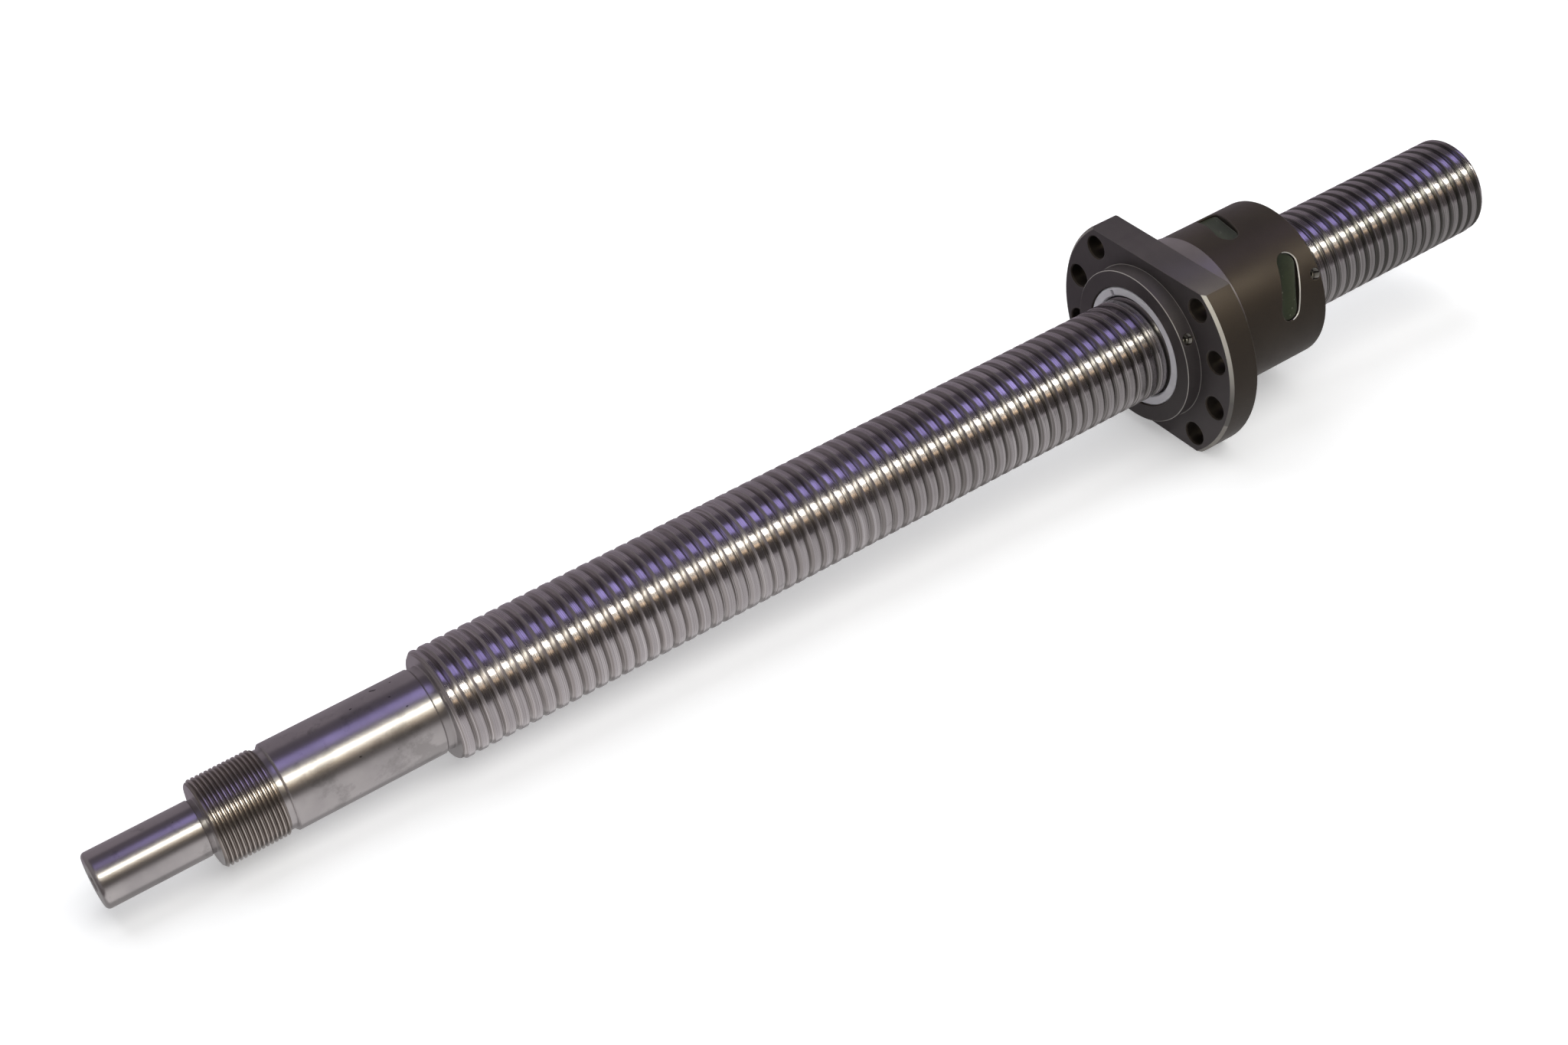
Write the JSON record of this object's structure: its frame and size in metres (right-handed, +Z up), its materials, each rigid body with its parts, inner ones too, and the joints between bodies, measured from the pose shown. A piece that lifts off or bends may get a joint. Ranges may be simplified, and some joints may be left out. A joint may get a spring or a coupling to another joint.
{
  "type": "ball screw",
  "caption": "Ball screw with a helical ball raceway, stepped end journals and a flanged nut that travels along it as it turns.",
  "frame": {"origin": "on the screw axis, at the shoulder between the bearing journal and the raceway", "axes": "+X along the screw axis from the driven end to the free end, +Z up and square to the two flats of the nut's flange"},
  "size_m": [0.5745, 0.093, 0.07],
  "materials": {
    "ground_steel": "satin",
    "blackened_steel": "satin",
    "insert_steel": "satin",
    "ball_steel": "polished",
    "screw_steel": "satin",
    "wiper_plastic": "matte",
    "felt": "matte"
  },
  "bodies": {
    "shaft": {"screw_shaft": "ground_steel"},
    "felts": {"felt_ring_front": "felt", "felt_ring_rear": "felt"},
    "nut": {"nut_body": "blackened_steel", "deflector_1": "insert_steel", "deflector_2": "insert_steel", "deflector_3": "insert_steel", "deflector_4": "insert_steel", "deflector_5": "insert_steel", "ball_circuit_1": "ball_steel", "ball_circuit_2": "ball_steel", "ball_circuit_3": "ball_steel", "ball_circuit_4": "ball_steel", "ball_circuit_5": "ball_steel", "wiper_front": "wiper_plastic", "wiper_rear": "wiper_plastic", "set_screw_front": "screw_steel", "set_screw_rear": "screw_steel"}
  },
  "joints": [
    {"name": "nut_travel", "type": "slide", "parent": "shaft", "child": "felts", "axis": [1, 0, 0], "range_m": [-0.29, 0.09]},
    {"name": "nut_spin", "type": "hinge", "parent": "felts", "child": "nut", "pos_m": [0.2943, 0, 0], "axis": [1, 0, 0], "range_deg": [-20880, 6480]}
  ],
  "couplings": [
    {"joint": "nut_travel", "follows": "nut_spin", "m_per_rad": 0.00079577}
  ]
}
